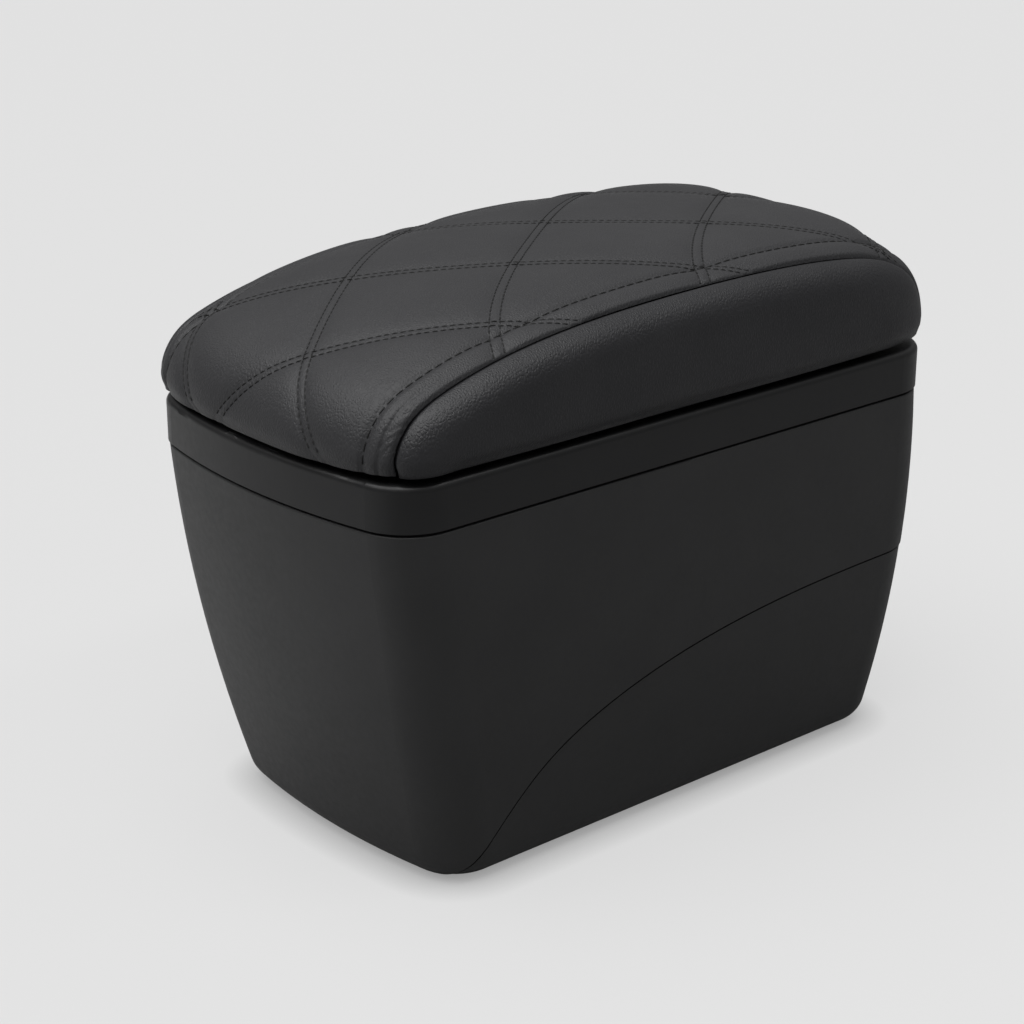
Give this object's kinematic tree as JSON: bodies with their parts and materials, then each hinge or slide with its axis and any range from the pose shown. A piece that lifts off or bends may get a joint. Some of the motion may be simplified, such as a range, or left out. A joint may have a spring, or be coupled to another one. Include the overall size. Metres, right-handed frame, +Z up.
{
  "type": "car centre armrest",
  "caption": "Car centre armrest: tapered storage box with a bowed front, a rim collar and a padded, diamond-quilted lid that hinges up at the rear.",
  "frame": {"origin": "on the surface it stands on, under the centre of the fixing holes and of the box's rim", "axes": "+Z up, +Y along the box from the opening end to the hinge, +X across to the right side"},
  "size_m": [0.1684, 0.3088, 0.2293],
  "materials": {
    "abs_outer": "fine texture",
    "abs_inner": "matt",
    "leatherette": "satin grain",
    "foam": "open cell",
    "felt": "felt",
    "rubber": "matt",
    "screw_steel": "zinc plated",
    "pin_steel": "bright",
    "nickel": "nickel plated",
    "nylon": "natural"
  },
  "bodies": {
    "console": {"body_shell": "abs_outer", "base_shell": "abs_outer", "rim_collar": "abs_outer", "storage_bin": "abs_inner", "bin_mat": "felt", "bin_screws": "screw_steel", "collar_screws": "screw_steel", "foot_pads": "rubber", "hinge_pin": "pin_steel", "pin_retainer": "pin_steel", "catch_magnet": "nickel", "lid_bumpers": "rubber"},
    "lid": {"lid_pan": "abs_inner", "lid_foam": "foam", "top_cover": "leatherette", "side_panel_right": "leatherette", "side_panel_left": "leatherette", "lid_liner": "abs_inner", "lid_screws": "screw_steel", "keeper_plate": "pin_steel", "hinge_bushes": "nylon"}
  },
  "joints": [
    {"name": "lid_hinge", "type": "hinge", "parent": "console", "child": "lid", "pos_m": [0, 0.151, 0.1742], "axis": [-1, 0, 0], "range_deg": [0, 100]}
  ]
}
